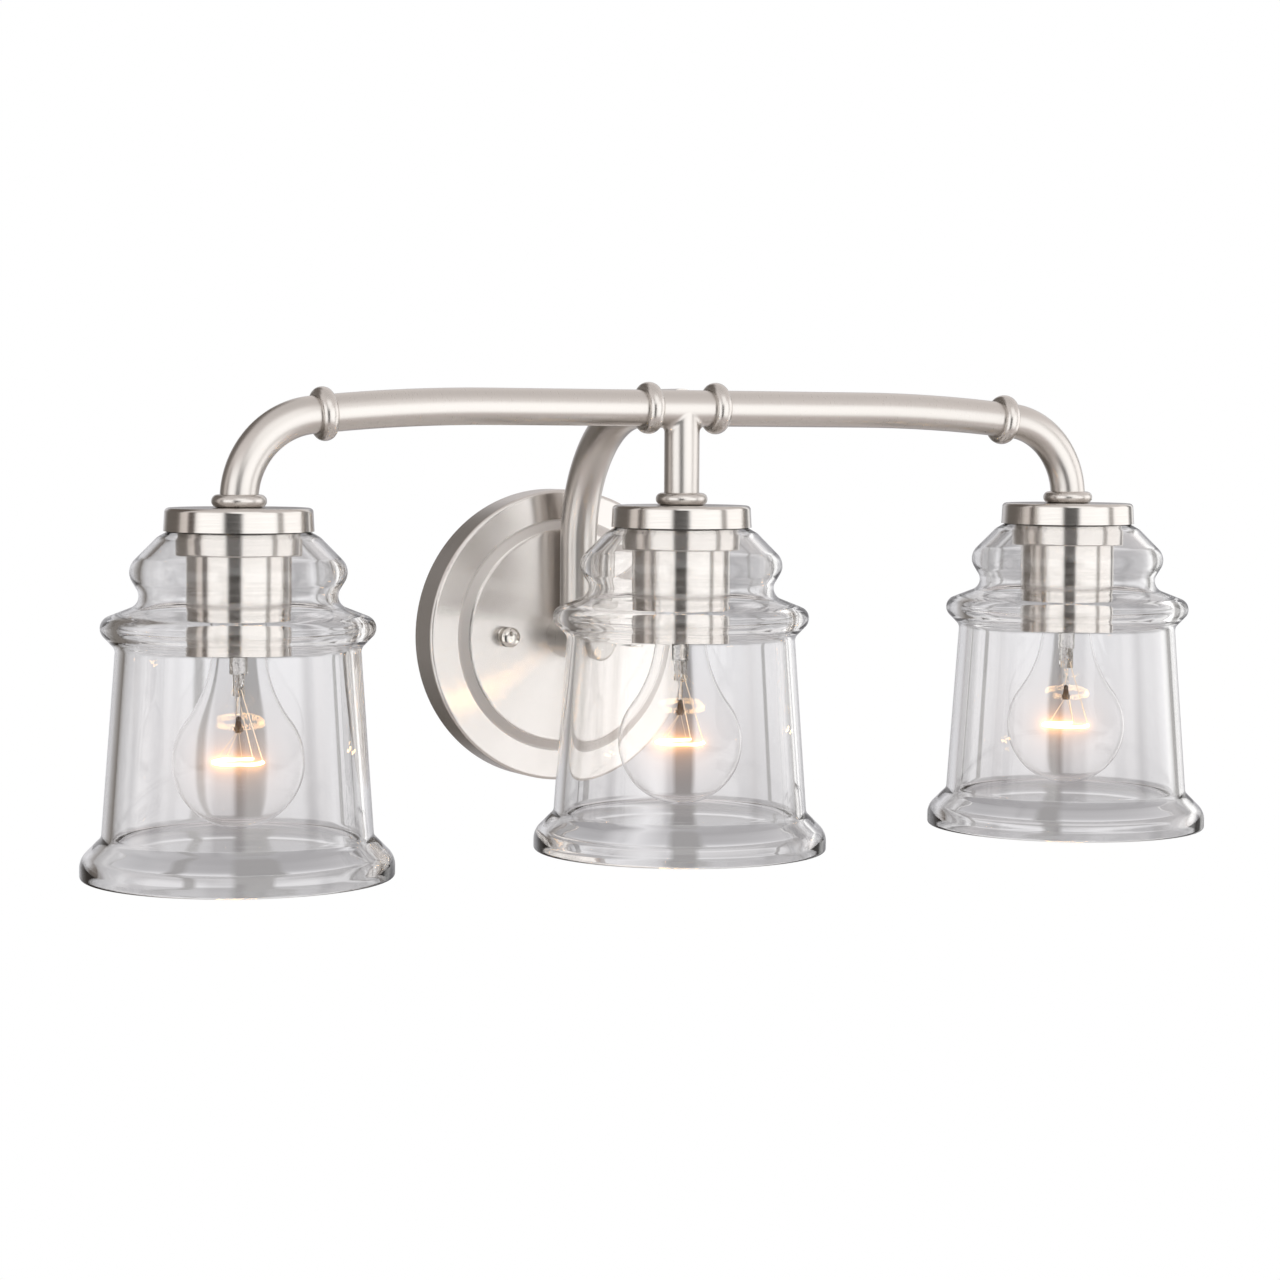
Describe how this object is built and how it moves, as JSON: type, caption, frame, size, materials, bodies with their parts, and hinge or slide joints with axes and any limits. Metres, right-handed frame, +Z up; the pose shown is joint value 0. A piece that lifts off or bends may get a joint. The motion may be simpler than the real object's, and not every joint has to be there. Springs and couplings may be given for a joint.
{
  "type": "vanity light bar",
  "caption": "Wall vanity light: clear bell-shaped glass shades with filament bulbs hang from a bowed satin nickel bar that a gooseneck arm holds off a round backplate.",
  "frame": {"origin": "on the wall, at the centre of the mounting strap's two box-screw slots", "axes": "+X along the bar, +Y into the wall, +Z up"},
  "size_m": [0.5914, 0.2207, 0.2256],
  "materials": {
    "nickel": "satin brushed nickel plate",
    "polished_nickel": "polished nickel, knurled side",
    "zinc_steel": "zinc plated steel",
    "green_screw": "green dyed zinc",
    "brass": "plain stamped brass",
    "phenolic": "moulded phenolic",
    "shade_glass": "clear pressed glass",
    "bulb_glass": "clear blown glass",
    "aluminium": "rolled thread shell",
    "solder": "dull solder",
    "filament": "tungsten, glowing"
  },
  "bodies": {
    "fixture": {"backplate": "nickel", "hub": "nickel", "arm": "nickel", "tee": "nickel", "bar_tube_left": "nickel", "bar_tube_right": "nickel", "elbow_left": "nickel", "elbow_right": "nickel", "inner_collar_left": "nickel", "inner_collar_right": "nickel", "outer_collar_left": "nickel", "outer_collar_right": "nickel", "mounting_strap": "zinc_steel", "mounting_studs": "zinc_steel", "stud_lock_nuts": "zinc_steel", "hub_nipple": "zinc_steel", "hub_lock_nut": "zinc_steel", "socket_nipples": "zinc_steel", "socket_lock_nuts": "zinc_steel", "ground_screw": "green_screw", "centre_contacts": "brass", "stem_collar_left": "nickel", "socket_cap_left": "nickel", "socket_sleeve_left": "nickel", "lampholder_left": "phenolic", "screw_shell_left": "brass", "stem_collar_middle": "nickel", "socket_cap_middle": "nickel", "socket_sleeve_middle": "nickel", "lampholder_middle": "phenolic", "screw_shell_middle": "brass", "stem_collar_right": "nickel", "socket_cap_right": "nickel", "socket_sleeve_right": "nickel", "lampholder_right": "phenolic", "screw_shell_right": "brass"},
    "cap_nut_left": {"cap_nut_left": "polished_nickel"},
    "cap_nut_right": {"cap_nut_right": "polished_nickel"},
    "bulb_seat_left": {"bulb_tip_left": "solder"},
    "bulb_left": {"bulb_envelope_left": "bulb_glass", "bulb_base_left": "aluminium", "bulb_mount_left": "bulb_glass", "bulb_filament_left": "filament"},
    "shade_left": {"glass_shade_left": "shade_glass"},
    "ring_left": {"retaining_ring_left": "nickel"},
    "bulb_seat_middle": {"bulb_tip_middle": "solder"},
    "bulb_middle": {"bulb_envelope_middle": "bulb_glass", "bulb_base_middle": "aluminium", "bulb_mount_middle": "bulb_glass", "bulb_filament_middle": "filament"},
    "shade_middle": {"glass_shade_middle": "shade_glass"},
    "ring_middle": {"retaining_ring_middle": "nickel"},
    "bulb_seat_right": {"bulb_tip_right": "solder"},
    "bulb_right": {"bulb_envelope_right": "bulb_glass", "bulb_base_right": "aluminium", "bulb_mount_right": "bulb_glass", "bulb_filament_right": "filament"},
    "shade_right": {"glass_shade_right": "shade_glass"},
    "ring_right": {"retaining_ring_right": "nickel"}
  },
  "joints": [
    {"name": "cap_nut_left_turn", "type": "hinge", "parent": "fixture", "child": "cap_nut_left", "pos_m": [-0.03492, -0.023, 0], "axis": [0, -1, 0], "continuous": true},
    {"name": "cap_nut_right_turn", "type": "hinge", "parent": "fixture", "child": "cap_nut_right", "pos_m": [0.03492, -0.023, 0], "axis": [0, -1, 0], "continuous": true},
    {"name": "bulb_left_drop", "type": "slide", "parent": "fixture", "child": "bulb_seat_left", "axis": [0, 0, -1], "range_m": [0, 0.01815]},
    {"name": "bulb_left_turn", "type": "hinge", "parent": "bulb_seat_left", "child": "bulb_left", "pos_m": [-0.225, -0.15, 0.06009], "axis": [0, 0, -1], "range_deg": [0, 1802]},
    {"name": "shade_left_drop", "type": "slide", "parent": "fixture", "child": "shade_left", "axis": [0, 0, -1], "range_m": [0, 0.008]},
    {"name": "ring_left_turn", "type": "hinge", "parent": "shade_left", "child": "ring_left", "pos_m": [-0.225, -0.15, 0.06009], "axis": [0, 0, -1], "range_deg": [0, 1442]},
    {"name": "bulb_middle_drop", "type": "slide", "parent": "fixture", "child": "bulb_seat_middle", "axis": [0, 0, -1], "range_m": [0, 0.01815]},
    {"name": "bulb_middle_turn", "type": "hinge", "parent": "bulb_seat_middle", "child": "bulb_middle", "pos_m": [0, -0.15, 0.06009], "axis": [0, 0, -1], "range_deg": [0, 1802]},
    {"name": "shade_middle_drop", "type": "slide", "parent": "fixture", "child": "shade_middle", "axis": [0, 0, -1], "range_m": [0, 0.008]},
    {"name": "ring_middle_turn", "type": "hinge", "parent": "shade_middle", "child": "ring_middle", "pos_m": [0, -0.15, 0.06009], "axis": [0, 0, -1], "range_deg": [0, 1442]},
    {"name": "bulb_right_drop", "type": "slide", "parent": "fixture", "child": "bulb_seat_right", "axis": [0, 0, -1], "range_m": [0, 0.01815]},
    {"name": "bulb_right_turn", "type": "hinge", "parent": "bulb_seat_right", "child": "bulb_right", "pos_m": [0.225, -0.15, 0.06009], "axis": [0, 0, -1], "range_deg": [0, 1802]},
    {"name": "shade_right_drop", "type": "slide", "parent": "fixture", "child": "shade_right", "axis": [0, 0, -1], "range_m": [0, 0.008]},
    {"name": "ring_right_turn", "type": "hinge", "parent": "shade_right", "child": "ring_right", "pos_m": [0.225, -0.15, 0.06009], "axis": [0, 0, -1], "range_deg": [0, 1442]}
  ],
  "couplings": [
    {"joint": "bulb_left_turn", "follows": "bulb_left_drop", "rad_per_m": 1731.4},
    {"joint": "ring_left_turn", "follows": "shade_left_drop", "rad_per_m": 3141.6},
    {"joint": "bulb_middle_turn", "follows": "bulb_middle_drop", "rad_per_m": 1731.4},
    {"joint": "ring_middle_turn", "follows": "shade_middle_drop", "rad_per_m": 3141.6},
    {"joint": "bulb_right_turn", "follows": "bulb_right_drop", "rad_per_m": 1731.4},
    {"joint": "ring_right_turn", "follows": "shade_right_drop", "rad_per_m": 3141.6}
  ]
}
